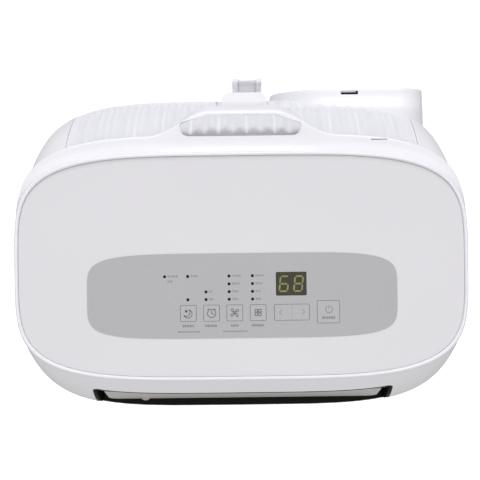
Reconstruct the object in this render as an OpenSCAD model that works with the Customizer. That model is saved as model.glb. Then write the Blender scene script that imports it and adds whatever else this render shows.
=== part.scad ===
// Air-conditioning dehumidifier on four casters.
// Millimetres. +X is the right side seen from the front, +Y the rear, +Z up, z = 0 the floor.
// "Depth" in this file means distance below the top of the rim, so depth = height - z.

/* [Cabinet] */
// Height from the floor to the top of the rim
height = 700; // [600:1:800]
// Half the width of the cabinet at the rim
half_width = 220; // [180:1:240]
// Half the depth of the rim, front to rear
rim_half_depth = 111; // [90:1:140]
// How far the front swells out below the rim
front_swell = 35.5; // [10:0.5:60]
// How far the rear swells out below the rim
rear_swell = 63; // [30:0.5:90]
// Thickness of the moulded covers
wall = 3; // [2:0.5:5]
// Height of the covers' lower edge above the floor
cover_bottom = 48; // [40:1:80]
// Where the front and rear covers meet
split_y = 26.5; // [0:0.5:60]

/* [Air outlet] */
// Half the width of the opening in the front cover
outlet_half_width = 148.5; // [100:0.5:180]
// Height of the opening's lower edge
outlet_low = 600; // [560:1:620]
// Height of the opening's upper edge
outlet_high = 673; // [650:1:680]
// Distance between neighbouring vanes
vane_pitch = 48; // [30:1:52]

/* [Rear] */
// Distance between the ridges of the intake cover
ridge_pitch = 14; // [8:0.5:20]
// How deep the valleys between the ridges are
ridge_depth = 4.5; // [1:0.5:8]
// Distance between the level slats of the intake cover
slat_pitch = 6; // [4:0.5:12]
// Radius of the socket that takes the exhaust hose
socket_r = 72; // [50:0.5:80]
// Centre of the exhaust socket across the cabinet
socket_x = 111; // [80:1:140]
// Centre of the exhaust socket above the floor
socket_z = 518; // [400:1:540]
// Outer face of the socket housing and of the hook block
rear_face_y = 152.5; // [146:0.5:165]

/* [Controls] */
// Side of a square key
key_size = 15.8; // [10:0.1:20]
// Gap round each key
key_gap = 0.35; // [0.2:0.05:0.8]
// Front-to-rear position of the row of keys
key_row_y = -74.8; // [-90:0.1:-60]

/* [Casters] */
// Radius of a caster wheel
wheel_r = 16; // [12:0.5:25]
// Distance between the swivel stem and the wheel's axle
caster_trail = 11; // [5:0.5:20]
// Casters stand this far left and right of the middle
caster_x = 158; // [120:1:180]
// Casters stand this far in front of and behind the cabinet's middle
caster_y = 104; // [80:1:130]

/* [Hidden] */
$fn = 48;

rim_y = -28.5;
white = [0.93, 0.93, 0.95];
grey = [0.70, 0.70, 0.71];
dark = [0.12, 0.12, 0.13];
metal = [0.72, 0.73, 0.75];
copper = [0.78, 0.48, 0.32];

// ---- shape of the cabinet -------------------------------------------------

function clamp01(v) = max(0, min(1, v));
function ease(u) = 1 - (1 - u) * (1 - u);
function spow(v, p) = sign(v) * pow(abs(v), p);

// The rear shoulder as [depth, how far it stands behind the rim]: a slope, a ledge and a drop to the intake.
shoulder = [[6, 0], [9, 9.5], [9.8, 15.5], [11.5, 17.2], [27, 17.03]];
// Front and rear surface on the centre line, half width and corner exponent, all against depth.
function front_at(d) = rim_y - rim_half_depth - 1 - front_swell * ease(clamp01((d - 6) / 94));
function rear_at(d) = rim_y + rim_half_depth - 1
    + (d < 27 ? lookup(d, shoulder) : rear_swell * ease(clamp01((d - 6) / 144)));
function half_at(d) = half_width - 2 * clamp01((d - 6) / 94) - 3 * clamp01((d - 152) / 500);
function power_at(d) = 4.2 + 0.3 * clamp01((d - 6) / 94);
function mid_at(d) = (front_at(d) + rear_at(d)) / 2;
function deep_at(d) = (rear_at(d) - front_at(d)) / 2;

// One point of the outline at depth d, moved w inwards, for an angle a.
function section_point(d, w, a) = let (p = 2 / power_at(d)) [
    (half_at(d) - w) * spow(cos(a), p),
    mid_at(d) + (deep_at(d) - w) * spow(sin(a), p)
];
// Rear surface of the cabinet at a given x.
function rear_surface(x, d, w) = let (n = power_at(d))
    mid_at(d) + (deep_at(d) - w) * pow(1 - pow(min(abs(x) / (half_at(d) - w), 1), n), 1 / n);
// Angle at which the outline crosses the split between the covers.
function split_angle(d, w) = asin(pow((split_y - mid_at(d)) / (deep_at(d) - w), power_at(d) / 2));

// Cross-section of a cover's wall as [inset, depth]: up the outside, over the rim, down the inside.
outer_depths = [104, 83, 66, 51, 38, 27, 18, 11.5, 9.8, 9, 6];
wall_loop = concat(
    [[0, height - cover_bottom], [0, 152], [0, 128]], [for (d = outer_depths) [0, d]],
    [[0.5, 3.1], [1.7, 1], [3, 0], [4.4, 0.7], [5.3, 2.5], [5.3, 6.3], [10, 6.3], [10, 9.3]],
    [for (d = [15, 24, 36, 51, 70, 104, 152]) [wall, d]], [[wall, height - cover_bottom]]
);

// A closed skin from a list of rings with the same number of points.
module skin(rings, loop, flip) {
    m = len(rings);
    n = len(rings[0]);
    last = loop ? m - 1 : m - 2;
    wrap = loop ? n - 2 : n - 1;
    sides = [for (j = [0:last]) for (i = [0:wrap]) let (
        a = j * n + i, b = j * n + (i + 1) % n, c = ((j + 1) % m) * n + (i + 1) % n, e = ((j + 1) % m) * n + i
    ) each [[a, b, c], [a, c, e]]];
    ends = loop
        ? [[for (j = [m - 1:-1:0]) j * n], [for (j = [0:m - 1]) j * n + n - 1]]
        : [[for (i = [n - 1:-1:0]) i], [for (i = [0:n - 1]) (m - 1) * n + i]];
    all = concat(sides, ends);
    polyhedron([for (r = rings) each r], flip ? [for (f = all) [for (k = [len(f) - 1:-1:0]) f[k]]] : all);
}

// Half of the cabinet's skin, side -1 for the front and 1 for the rear.
module cover_half(side, steps) {
    skin([for (s = wall_loop) let (t = split_angle(s[1], s[0])) [for (i = [0:steps]) let (
        a = side < 0 ? t - (180 + 2 * t) * i / steps : t + (180 - 2 * t) * i / steps,
        q = section_point(s[1], s[0], a)
    ) [q[0], q[1], height - s[1]]]], true, side > 0);
}

// The cabinet as one solid, moved w inwards, used for trimming.
module cabinet_solid(w, low) {
    depths = concat([low, 152, 128], outer_depths, [0]);
    skin([for (d = depths) [for (i = [0:71]) let (q = section_point(d, w, 360 * i / 72)) [q[0], q[1], height - d]]],
        false, true);
}

module outline(d, w, steps = 72) {
    polygon([for (i = [0:steps - 1]) section_point(d, w, 360 * i / steps)]);
}

// 2D shapes drawn in (y, z) and swept along X, or drawn in (x, z) and swept along Y.
module along_x(x0, x1) { translate([x0, 0, 0]) rotate([90, 0, 90]) linear_extrude(x1 - x0) children(); }
module along_y(y0, y1) { translate([0, y1, 0]) rotate([90, 0, 0]) linear_extrude(y1 - y0) children(); }
module tube_y(x, z, r, y0, y1) { translate([x, y1, z]) rotate([90, 0, 0]) cylinder(r = r, h = y1 - y0); }
module tube_x(y, z, r, x0, x1) { translate([x0, y, z]) rotate([0, 90, 0]) cylinder(r = r, h = x1 - x0); }
module block(lo, hi) { translate(lo) cube(hi - lo); }

module rounded(lo, hi, r) {
    translate(lo + [r, 0]) square([hi[0] - lo[0] - 2 * r, hi[1] - lo[1]]);
    translate(lo + [0, r]) square([hi[0] - lo[0], hi[1] - lo[1] - 2 * r]);
    for (x = [lo[0] + r, hi[0] - r]) for (z = [lo[1] + r, hi[1] - r]) translate([x, z]) circle(r);
}

function arc(c, r, a0, a1, steps) = [for (i = [0:steps]) let (a = a0 + (a1 - a0) * i / steps)
    c + r * [cos(a), sin(a)]];

// ---- covers ----------------------------------------------------------------

module front_cover() {
    color(white) difference() {
        cover_half(-1, 44);
        along_y(-200, -100) rounded([-outlet_half_width, outlet_low], [outlet_half_width, outlet_high], 6);
    }
}

// Area of the rear cover that the intake cover fills, drawn in (x, z) and grown by g.
intake_left = -172;
intake_right = 176;
intake_top = 673;
intake_step = 607;
intake_low = 567;
module intake_area(g) {
    polygon([
        [intake_left - g, intake_low - g], [-24 + g, intake_low - g], [-24 + g, intake_step - g],
        [intake_right + g, intake_step - g], [intake_right + g, intake_top + g], [intake_left - g, intake_top + g]
    ]);
}

// The carrying handle: an arch seen from above, with a finger opening. out widens it downwards.
handle_x = 2;
function handle_edge(u, out) = 98 + 22.5 * (0.5 + 0.5 * cos(180 * clamp01((u - 30) / 62))) + out;
function handle_ring(out, z) = concat([[handle_x + 50, 76, z], [handle_x + 96 + out, 84, z]],
    [for (u = [92:-4:-92]) [handle_x + u * (1 + out / 160), handle_edge(abs(u), out), z]],
    [[handle_x - 96 - out, 84, z], [handle_x - 50, 76, z]]);
module carry_handle() {
    color(white) difference() {
        intersection() {
            skin([handle_ring(8, height - 26), handle_ring(0, height - 8), handle_ring(-2.5, height - 5)], false, true);
            along_x(-125, 125) polygon([[78, height - 4.5], [90, height - 5.5], [122, height - 7], [140, height - 10],
                [140, height - 25], [104, height - 24], [84, height - 17], [78, height - 12]]);
        }
        translate([0, 0, height - 60]) linear_extrude(70) polygon(concat(
            arc([handle_x + 52, 107], 6, -90, 20, 6), arc([handle_x + 33, 113.5], 4, 40, 90, 4),
            arc([handle_x - 33, 113.5], 4, 90, 140, 4), arc([handle_x - 52, 107], 6, 160, 270, 6)));
        cabinet_solid(-0.15, 300);
    }
}

screw_spots = [for (x = [-150, 150]) for (z = [350, 92]) [x, z]];

module rear_cover() {
    color(white) difference() {
        cover_half(1, 40);
        along_y(60, 200) intake_area(0.8);
        tube_y(socket_x, socket_z, socket_r + 3.4, 60, 200);
        along_y(60, 200) translate([-150, 122]) square([300, 203]);
        tube_y(-120, 96, 9.3, 60, 200);
        tube_y(70, 62, 11, 60, 200);
        for (s = screw_spots) tube_y(s[0], s[1], 2.1, 60, 200);
    }
}

// ---- control panel ---------------------------------------------------------

fascia_top = height - 2.2;
overlay_top = fascia_top + 0.5;
overlay_mid = [0.5, -58];
keys = [["sleep", -51.5, key_size, key_size], ["timer", -29, key_size, key_size], ["fan", -6.6, key_size, key_size],
    ["mode", 16, key_size, key_size], ["down", 39.6, 16.8, key_size], ["up", 57.2, 16.8, key_size],
    ["power", 83.7, 21.6, 21.6]];
led_x = [-74.3, -52.1, -34.5, -12.1, 10.5];
led_y = [-39.1, -46.7, -54.2, -61.6];
leds = concat([[led_x[0], led_y[0]], [led_x[1], led_y[0]], [led_x[1], led_y[3]], [led_x[2], led_y[2]],
    [led_x[2], led_y[3]]], [for (x = [led_x[3], led_x[4]]) for (y = led_y) [x, y]]);
window_mid = [48, -47.2];
window_size = [29.4, 22.6];

module key_area(k, g) {
    s = [k[2] / 2 + g, k[3] / 2 + g];
    translate([k[1], key_row_y]) rounded(-s, s, 1.6);
}
module window_area(g) {
    translate(window_mid) rounded(-window_size / 2 - [g, g], window_size / 2 + [g, g], 1.2);
}
module panel_holes(g) {
    for (k = keys) key_area(k, g);
    window_area(0.15);
    for (p = leds) translate(p) circle(1.5);
}

module control_fascia() {
    color([0.87, 0.86, 0.88]) difference() {
        translate([0, 0, height - 6.2]) linear_extrude(fascia_top - height + 6.2) outline(0, 6.1);
        translate([0, 0, height - 8]) linear_extrude(10) panel_holes(key_gap);
    }
}
module control_overlay() {
    color(grey) translate([0, 0, fascia_top + 0.03]) linear_extrude(0.47) difference() {
        polygon([for (i = [0:71]) overlay_mid + [150 * spow(cos(5 * i), 0.38), 41 * spow(sin(5 * i), 0.38)]]);
        panel_holes(key_gap);
    }
}
module key(k) {
    color(grey) {
        translate([0, 0, overlay_top - 3]) linear_extrude(3) key_area(k, 0);
        translate([k[1], key_row_y, height - 12.2]) cylinder(r = 2.5, h = 9.6);
    }
}
module display_window() {
    color(dark) translate([0, 0, height - 5]) linear_extrude(overlay_top - height + 5) window_area(0);
}
// Seven-segment digits; a digit is the list of lit segments: top, left and right upper, middle, left and
// right lower, bottom.
digit_bits = [[1, 1, 0, 1, 1, 1, 1], [1, 1, 1, 1, 1, 1, 1]];
module digit(bits) {
    spots = [[0, 6.4, 1], [-3.6, 3.2, 0], [3.6, 3.2, 0], [0, 0, 1], [-3.6, -3.2, 0], [3.6, -3.2, 0], [0, -6.4, 1]];
    for (i = [0:6]) if (bits[i]) translate([spots[i][0], spots[i][1]])
        square(spots[i][2] ? [5.2, 1.3] : [1.3, 4.8], center = true);
}
module display_digits() {
    color([0.55, 0.9, 0.3]) translate([0, 0, overlay_top + 0.03]) linear_extrude(0.2)
        for (i = [0, 1]) translate(window_mid + [-6 + 12 * i, 0]) digit(digit_bits[i]);
}
module indicator_lenses() {
    color(dark) for (p = leds) translate([p[0], p[1], height - 6]) cylinder(r = 1.35, h = overlay_top - height + 6);
}
module display_board() {
    color([0.1, 0.35, 0.2]) {
        block([-95, -95, height - 18], [105, -25, height - 16.4]);
        for (k = keys) block([k[1] - 3, key_row_y - 3, height - 16.4], [k[1] + 3, key_row_y + 3, height - 13.1]);
    }
    color(dark) for (p = [[-85, -90], [95, -90], [-85, -30], [95, -30]])
        translate([p[0], p[1], height - 16.4]) cylinder(r = 3, h = 10);
}

// ---- air outlet ------------------------------------------------------------

frame_side = outlet_half_width - 0.4;
frame_low = outlet_low + 0.4;
frame_high = outlet_high - 0.4;
flap_axis = [-154.5, 621];
vane_y = -120;
vane_arm = 14;
vane_count = 6;
vane_low = frame_low + 2.5;
vane_high = frame_high - 2.5;
link_z = (vane_low + vane_high) / 2;
function vane_x(i) = (i - (vane_count - 1) / 2) * vane_pitch;

module outlet_frame() {
    color(dark) difference() {
        intersection() {
            along_y(-190, -96) difference() {
                rounded([-frame_side, frame_low], [frame_side, frame_high], 5.6);
                rounded([-frame_side + 3, vane_low], [frame_side - 3, vane_high], 3);
            }
            cabinet_solid(0.5, 300);
        }
        tube_x(flap_axis[0], flap_axis[1], 2.58, -160, 160);
        for (i = [0:vane_count - 1]) translate([vane_x(i), vane_y, frame_low - 1]) cylinder(r = 1.58, h = 80);
    }
}

// The flap's plate stands in (x, height above its lower edge) and leans back by the slope of the front.
flap_lean = 13.5;
flap_foot = [-166.6, 610.6];
flap_half = 137;
flap_tall = 57.5;
// Round finger tab that lies level at the flap's foot.
tab_spot = [-100, -162.3, 610.7];
module flap_outline() {
    polygon(concat(arc([flap_half - 12, 12], 12, -90, 0, 8), [[flap_half, flap_tall], [-flap_half, flap_tall]],
        arc([-flap_half + 12, 12], 12, 180, 270, 8)));
}
module outlet_flap() {
    color(white) {
        difference() {
            translate([0, flap_foot[0], flap_foot[1]]) rotate([90 - flap_lean, 0, 0]) translate([0, 0, -2.6])
                linear_extrude(2.6) flap_outline();
            translate([tab_spot[0], tab_spot[1], tab_spot[2] - 10]) cylinder(r = 6.1, h = 12.5);
        }
        for (s = [-1, 1]) {
            along_x(s * 131 - 2, s * 131 + 2) polygon([[-162.2, 616], [-154.5, 616.5], [-150.5, 621],
                [-153, 625.5], [-160.2, 625.5]]);
            tube_x(flap_axis[0], flap_axis[1], 2.5, s > 0 ? 132 : -148, s > 0 ? 147.5 : -132);
        }
    }
}
module flap_tab() {
    color([0.85, 0.75, 0.72]) translate(tab_spot) cylinder(r = 6, h = 2.4);
}
module flap_motor() {
    color(metal) union() {
        tube_x(flap_axis[0] + 8.5, flap_axis[1], 10, -172, -153);
        tube_x(flap_axis[0], flap_axis[1], 1.6, -156, -148.7);
    }
}

module vane(i) {
    x = vane_x(i);
    color(dark) union() {
        difference() {
            block([x - 0.8, vane_y - 15, vane_low + 1], [x + 0.8, vane_y + 16.5, vane_high - 1]);
            block([x - 2, vane_y + 7, link_z - 4], [x + 2, vane_y + 20, link_z + 4]);
        }
        for (z = [frame_low + 0.2, vane_high - 4]) translate([x, vane_y, z]) cylinder(r = 1.5, h = 6.3);
        translate([x, vane_y + vane_arm, link_z - 4.5]) cylinder(r = 1.2, h = 9);
    }
}
module vane_link() {
    color(dark) difference() {
        block([vane_x(0) - 8, -112, link_z - 1.5], [vane_x(vane_count - 1) + 8, -101.8, link_z + 1.5]);
        for (i = [0:vane_count - 1]) translate([vane_x(i), 0, link_z - 3]) linear_extrude(6) {
            translate([0, -106]) circle(1.65);
            translate([0, -107.9]) circle(1.65);
            translate([-1.65, -107.9]) square([3.3, 1.9]);
        }
    }
}

// ---- rear parts ------------------------------------------------------------

// Depth of the corrugation at x: nought on a ridge, ridge_depth in a valley.
function ridge_in(x) = ridge_depth * (0.5 - 0.5 * cos(360 * x / ridge_pitch));

// A level slat that follows the rear surface from x0 to x1, from inset to deep below the surface.
module slat(x0, x1, z0, z1, deep, wavy, inset = 0) {
    steps = round((x1 - x0) / (wavy ? ridge_pitch / 4 : 14));
    d = height - (z0 + z1) / 2;
    xs = [for (i = [0:steps]) x0 + (x1 - x0) * i / steps];
    translate([0, 0, z0]) linear_extrude(z1 - z0) polygon(concat(
        [for (x = xs) [x, rear_surface(x, d, 0.2) - inset - (wavy ? ridge_in(x) : 0)]],
        [for (i = [steps:-1:0]) [xs[i], rear_surface(xs[i], d, 0.2) - deep]]));
}
// An upright rib that follows the rear surface at x from z0 to z1.
module rib(x, w, z0, z1, inset, deep) {
    steps = max(2, round((z1 - z0) / 9));
    zs = [for (i = [0:steps]) z0 + (z1 - z0) * i / steps];
    side = abs(x) + w / 2;
    along_x(x - w / 2, x + w / 2) polygon(concat(
        [for (z = zs) [rear_surface(side, height - z, 0.2) - inset, z]],
        [for (i = [steps:-1:0]) [rear_surface(side, height - zs[i], 0.2) - deep, zs[i]]]));
}

module intake_cover() {
    color(white) union() {
        for (z = [intake_low + 8:slat_pitch:intake_top - 7])
            slat(intake_left + 2, z < intake_step + 3 ? -26 : intake_right - 2, z, z + 3.2, 7.5, true);
        slat(intake_left, -24, intake_low, intake_low + 4, 7.5, true);
        slat(-26, intake_right, intake_step, intake_step + 4, 7.5, true);
        slat(intake_left, intake_right, intake_top - 3, intake_top, 7.5, false);
        for (x = [-161:2 * ridge_pitch:-35]) rib(x, 2.4, intake_low + 1, intake_top - 1, 5, 8.5);
        for (x = [-7:2 * ridge_pitch:161]) rib(x, 2.4, intake_step + 1, intake_top - 1, 5, 8.5);
        rib(intake_left + 1.5, 3, intake_low, intake_top, 0, 8.5);
        rib(intake_right - 1.5, 3, intake_step, intake_top, 0, 8.5);
        rib(-25.5, 3, intake_low, intake_step + 2, 0, 8.5);
    }
}
// A mesh filter in a frame that sits just behind the intake cover and comes away with it.
module air_filter() {
    color([0.35, 0.45, 0.55]) union() {
        for (x = [-160:16:160]) rib(x, 1.2, intake_step + 6, intake_top - 7, 9.6, 11);
        for (z = [intake_step + 4:9:intake_top - 6]) slat(-166, 168, z, z + 1.5, 11.6, false, 9.8);
        rib(-166, 4, intake_step + 3, intake_top - 4, 9.3, 12);
        rib(168, 4, intake_step + 3, intake_top - 4, 9.3, 12);
    }
}

// Outside of the exhaust housing at y, with its top raised by g.
function housing_ring(g, y) = [for (p = concat(arc([161, 568], 28, 0, 90, 8), arc([101, 528], 68, 90, 180, 14),
    arc([101, 508], 68, 180, 270, 14), arc([151, 478], 38, 270, 360, 8)))
    [p[0], y, p[1] + g * max(0, p[1] - 528) / 68]];
module exhaust_housing() {
    color(white) difference() {
        union() {
            difference() {
                skin([housing_ring(8.5, 100), housing_ring(8.5, 131), housing_ring(3.5, 139), housing_ring(1, 146),
                    housing_ring(0, 151), housing_ring(-1.5, rear_face_y)], false, false);
                cabinet_solid(-0.2, 300);
            }
            tube_y(socket_x, socket_z, socket_r + 3, 112, rear_face_y - 4);
        }
        tube_y(socket_x, socket_z, socket_r, 115, 200);
        tube_y(socket_x, socket_z, socket_r - 5, 100, 200);
        block([106, 145.7, 580], [124, 149.9, 610]);
    }
}
module hook_block() {
    color(white) difference() {
        intersection() {
            along_x(-19, 28.4) polygon([[120, 603.5], [139, 603.5], [149.7, 593.5], [149.7, 400], [146, 390],
                [120, 390]]);
            translate([0, 0, 380]) linear_extrude(230) rounded([-19, 60], [28.4, 149.7], 8);
        }
        cabinet_solid(-0.2, 320);
        block([-8.8, 146, 460], [26.2, 160, 510]);
    }
}
module cord_hook() {
    color(grey) {
        for (x = [-7.9, 18.5]) along_x(x, x + 7) polygon([[146.2, 464], [152.7, 464], [176, 472], [176, 500],
            [171, 500], [169.5, 482], [152.7, 480], [152.7, 506], [146.2, 506]]);
        along_x(-0.9, 18.5) polygon([[146.2, 466], [152, 466], [175, 474], [175, 492], [172.5, 492], [170.5, 479],
            [152, 477], [150, 506], [146.2, 506]]);
    }
}
module cord_gland() {
    color(dark) difference() {
        union() {
            tube_y(-120, 96, 9, 133, 146);
            tube_y(-120, 96, 11.5, 144.2, 147);
            tube_y(-120, 96, 11.5, 132, 135);
        }
        tube_y(-120, 96, 4.3, 100, 200);
    }
}
module lower_grille() {
    color(white) union() {
        for (z = [128:9:315]) slat(-146, 146, z, z + 3.5, 4, false);
        slat(-149, 149, 122.7, 126, 6, false);
        slat(-149, 149, 321, 324.3, 6, false);
        for (x = [-98, -49, 0, 49, 98]) rib(x, 2.6, 124, 323, 1.4, 6);
        for (x = [-147.5, 147.5]) rib(x, 3, 122.7, 324.3, 0.2, 6);
    }
}
module drain_plug() {
    color(dark) union() {
        tube_y(70, 62, 5.4, 141, 152);
        tube_y(70, 62, 8, 148.3, 152.5);
    }
}
module cover_screws() {
    color(metal) for (s = screw_spots) {
        y = rear_surface(s[0] - sign(s[0]) * 4.5, height - s[1], 0) + 0.4;
        tube_y(s[0], s[1], 3.8, y, y + 2);
        tube_y(s[0], s[1], 1.7, y - 6.5, y + 1);
    }
}

// ---- base ------------------------------------------------------------------

caster_spots = [["front_left", -1, -1], ["front_right", 1, -1], ["rear_left", -1, 1], ["rear_right", 1, 1]];
function caster_at(i) = [caster_spots[i][1] * caster_x, mid_at(400) + caster_spots[i][2] * caster_y];

module base_pan() {
    color(dark) difference() {
        union() {
            difference() {
                translate([0, 0, 40]) linear_extrude(34) outline(652, 4);
                translate([0, 0, 43.5]) linear_extrude(40) outline(652, 7);
            }
            for (i = [0:3]) translate([caster_at(i)[0], caster_at(i)[1], 41]) cylinder(r = 10, h = 22);
            tube_y(70, 62, 8.5, 134, 147.5);
        }
        for (i = [0:3]) translate([caster_at(i)[0], caster_at(i)[1], 39]) cylinder(r = 4.05, h = 20);
        tube_y(70, 62, 5.8, 120, 160);
    }
}
module caster(i) {
    color(dark) translate([caster_at(i)[0], caster_at(i)[1], 0]) union() {
        translate([0, 0, 37]) cylinder(r = 4, h = 20);
        translate([0, 0, 35]) cylinder(r = 13, h = 3.5);
        for (s = [-1, 1]) along_x(s * 9.6 - 1.4, s * 9.6 + 1.4)
            polygon([[-7, 36.5], [9, 36.5], [caster_trail + 5.5, 20], [caster_trail + 4, 11.5],
                [caster_trail - 4, 11.5], [caster_trail - 6, 18]]);
        tube_x(caster_trail, wheel_r, 3, -9, 9);
    }
}
module wheel(i) {
    color([0.2, 0.2, 0.21]) translate([caster_at(i)[0], caster_at(i)[1] + caster_trail, wheel_r]) rotate([0, 90, 0])
        rotate_extrude() polygon([[3.06, -7.8], [7, -7.8], [8, -5.5], [11.5, -5.5], [12.5, -7.6], [15, -7.2],
            [wheel_r, -5.4], [wheel_r, 5.4], [15, 7.2], [12.5, 7.6], [11.5, 5.5], [8, 5.5], [7, 7.8], [3.06, 7.8]]);
}

// ---- refrigeration and fans --------------------------------------------------

comp = [-112, -70];
module compressor() {
    color(dark) translate([comp[0], comp[1], 0]) union() {
        rotate_extrude() polygon([[0, 62], [46, 62], [52, 70], [54, 82], [54, 215], [51, 232], [42, 246], [24, 254],
            [0, 256]]);
        translate([0, 0, 60]) linear_extrude(4) for (a = [90, 210, 330]) rotate(a) {
            translate([0, -10]) square([66, 20]);
        }
        translate([-14, -14, 250]) cube([28, 28, 14]);
    }
}
module compressor_feet() {
    color([0.1, 0.1, 0.1]) for (a = [90, 210, 330]) translate([comp[0] + 58 * cos(a), comp[1] + 58 * sin(a), 43.8])
        cylinder(r = 9, h = 15.9);
}
module accumulator() {
    color(dark) translate([-30, -78, 0]) rotate_extrude() polygon([[0, 80], [14, 82], [22, 94], [22, 196],
        [14, 208], [0, 210]]);
}
// Fins on a comb with end plates; the comb's back is a thin sheet.
module coil(lo, hi, pitch) {
    union() {
        for (x = [lo[0] + pitch:pitch:hi[0] - pitch]) block([x - 0.5, lo[1], lo[2]], [x + 0.5, hi[1], hi[2]]);
        block([lo[0], lo[1], lo[2]], [lo[0] + 1.5, hi[1], hi[2]]);
        block([hi[0] - 1.5, lo[1], lo[2]], [hi[0], hi[1], hi[2]]);
        for (z = [lo[2] + 16:32:hi[2] - 10]) {
            y = (lo[1] + hi[1]) / 2;
            tube_x(y, z, 4, lo[0] - 9, hi[0] + 9);
        }
    }
}
module condenser() { color(metal) coil([-150, 86, 82], [150, 108, 326], 10); }
module evaporator() { color(metal) coil([-172, 34, 372], [22, 58, 640], 10); }

// Copper tube along a chain of points, each leg straight, with a brazed ball elbow at every bend.
module pipe_run(points, r) {
    for (i = [0:len(points) - 2]) let (v = points[i + 1] - points[i], l = norm(v))
        translate(points[i]) rotate([0, acos(v[2] / l), atan2(v[1], v[0])]) cylinder(r = r, h = l, $fn = 20);
    for (i = [1:len(points) - 2]) translate(points[i]) sphere(r = r + 0.7, $fn = 20);
}
module refrigerant_pipes() {
    color(copper) union() {
        pipe_run([[-112, -128, 110], [-112, -140, 110], [-112, -140, 300], [-190, -20, 300], [-190, 70, 290],
            [-168, 97, 290], [-159.6, 97, 290]], 4);
    }
    color(copper) union() {
        pipe_run([[-30, -78, 212], [-30, -78, 320], [-160, 20, 324], [-189, 20, 326], [-189, 20, 376],
            [-189, 46, 388], [-181.7, 46, 388]], 5);
    }
}

fan_mid = [70, 205];
module condenser_fan() {
    color([0.3, 0.3, 0.32]) union() {
        difference() {
            tube_y(fan_mid[0], fan_mid[1], 84, 24, 27);
            tube_y(fan_mid[0], fan_mid[1], 4.05, 0, 80);
        }
        difference() {
            tube_y(fan_mid[0], fan_mid[1], 84, 66, 69);
            tube_y(fan_mid[0], fan_mid[1], 62, 60, 80);
        }
        difference() {
            tube_y(fan_mid[0], fan_mid[1], 14, 26, 46);
            tube_y(fan_mid[0], fan_mid[1], 4.05, 0, 80);
        }
        for (a = [0:15:345]) translate([fan_mid[0], 0, fan_mid[1]]) rotate([0, -a, 0])
            block([66, 26, -0.8], [83, 67, 0.8]);
    }
}
module scroll_area(g) {
    translate(fan_mid) circle(96 - g);
    polygon([[fan_mid[0] + g, fan_mid[1]], [fan_mid[0] + 96 - g, fan_mid[1]], [fan_mid[0] + 108 - g, 309],
        [fan_mid[0] - 20 + g, 309], [fan_mid[0] - 20 + g, 290]]);
}
module condenser_fan_housing() {
    color(white) difference() {
        along_y(18, 75) scroll_area(0);
        along_y(20.5, 72.5) union() {
            scroll_area(2.5);
            translate([52.5, 290]) square([123, 30]);
        }
        tube_y(fan_mid[0], fan_mid[1], 64, 70, 80);
        tube_y(fan_mid[0], fan_mid[1], 12, 10, 22);
    }
}
module condenser_fan_motor() {
    color(metal) union() {
        tube_y(fan_mid[0], fan_mid[1], 36, -45, 14);
        tube_y(fan_mid[0], fan_mid[1], 10, 13, 17.7);
        tube_y(fan_mid[0], fan_mid[1], 4, 13, 50);
    }
}
module exhaust_duct() {
    color(white) difference() {
        union() {
            block([44, 16, 309.5], [182, 85.4, 596]);
            tube_y(socket_x, socket_z, socket_r - 4, 80, 111.5);
        }
        block([46.5, 18.5, 300], [179.5, 82.9, 593.5]);
        tube_y(socket_x, socket_z, socket_r - 6.5, 70, 120);
    }
}
module drain_pan() {
    color(white) difference() {
        translate([0, 0, 336]) linear_extrude(20) difference() { outline(360, 9); pan_gaps(0); }
        translate([0, 0, 339]) linear_extrude(20) difference() { outline(360, 12); pan_gaps(2.5); }
    }
}
module pan_gaps(g) {
    translate([42 - g, 14 - g]) square([142 + 2 * g, 78 + 2 * g]);
    translate([-199 - g, 0 - g]) square([20 + 2 * g, 60 + 2 * g]);
    translate([-70 - g, -145 - g]) square([140 + 2 * g, 40 + 2 * g]);
}

xfan = [-46, 580];
module evaporator_fan() {
    color([0.3, 0.3, 0.32]) difference() {
        union() {
            for (x = [-132, -68, -4, 60, 124]) tube_x(xfan[0], xfan[1], 44, x, x + 3);
            for (a = [0:20:340]) translate([0, xfan[0], xfan[1]]) rotate([a, 0, 0])
                block([-130, 35, -0.8], [125, 43.5, 0.8]);
            tube_x(xfan[0], xfan[1], 9, 120, 133);
        }
        tube_x(xfan[0], xfan[1], 4.05, -160, 160);
    }
}
module evaporator_fan_housing() {
    color(white) union() {
        along_x(-140, 140) polygon(concat([[-95.5, 600.2]], arc(xfan, 49.5, 180, 350, 16),
            arc(xfan, 52, 350, 180, 16), [[-98, 600.2]]));
        along_x(-140, 140) polygon([[-95.5, 670], [-95.5, 672.4], [-62, 662], [-48, 640], [-50.5, 638.5], [-64, 659.5]]);
        for (x = [-142.5, 140]) along_x(x, x + 2.5) difference() {
            polygon(concat([[-98, 600.2], [-95.5, 600.2], [-95.5, 672.4], [-62, 662], [0, 640]],
                arc(xfan, 52, 20, -180, 20)));
            translate(xfan) circle(14);
        }
    }
}
module evaporator_fan_motor() {
    color(metal) union() {
        tube_x(xfan[0], xfan[1], 32, 146, 190);
        tube_x(xfan[0], xfan[1], 11, 143, 146);
        tube_x(xfan[0], xfan[1], 4, -145, 143);
        tube_x(xfan[0], xfan[1], 10, -150, -144);
    }
}
module control_box() {
    color([0.85, 0.85, 0.83]) {
        difference() {
            block([40, -150, 380], [180, -110, 540]);
            block([42, -148, 382], [178, -105, 538]);
        }
    }
    color([0.1, 0.35, 0.2]) block([46, -146, 388], [174, -144, 532]);
    color(metal) for (x = [66, 100]) translate([x, -130, 384]) cylinder(r = 12, h = 50);
}

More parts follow.
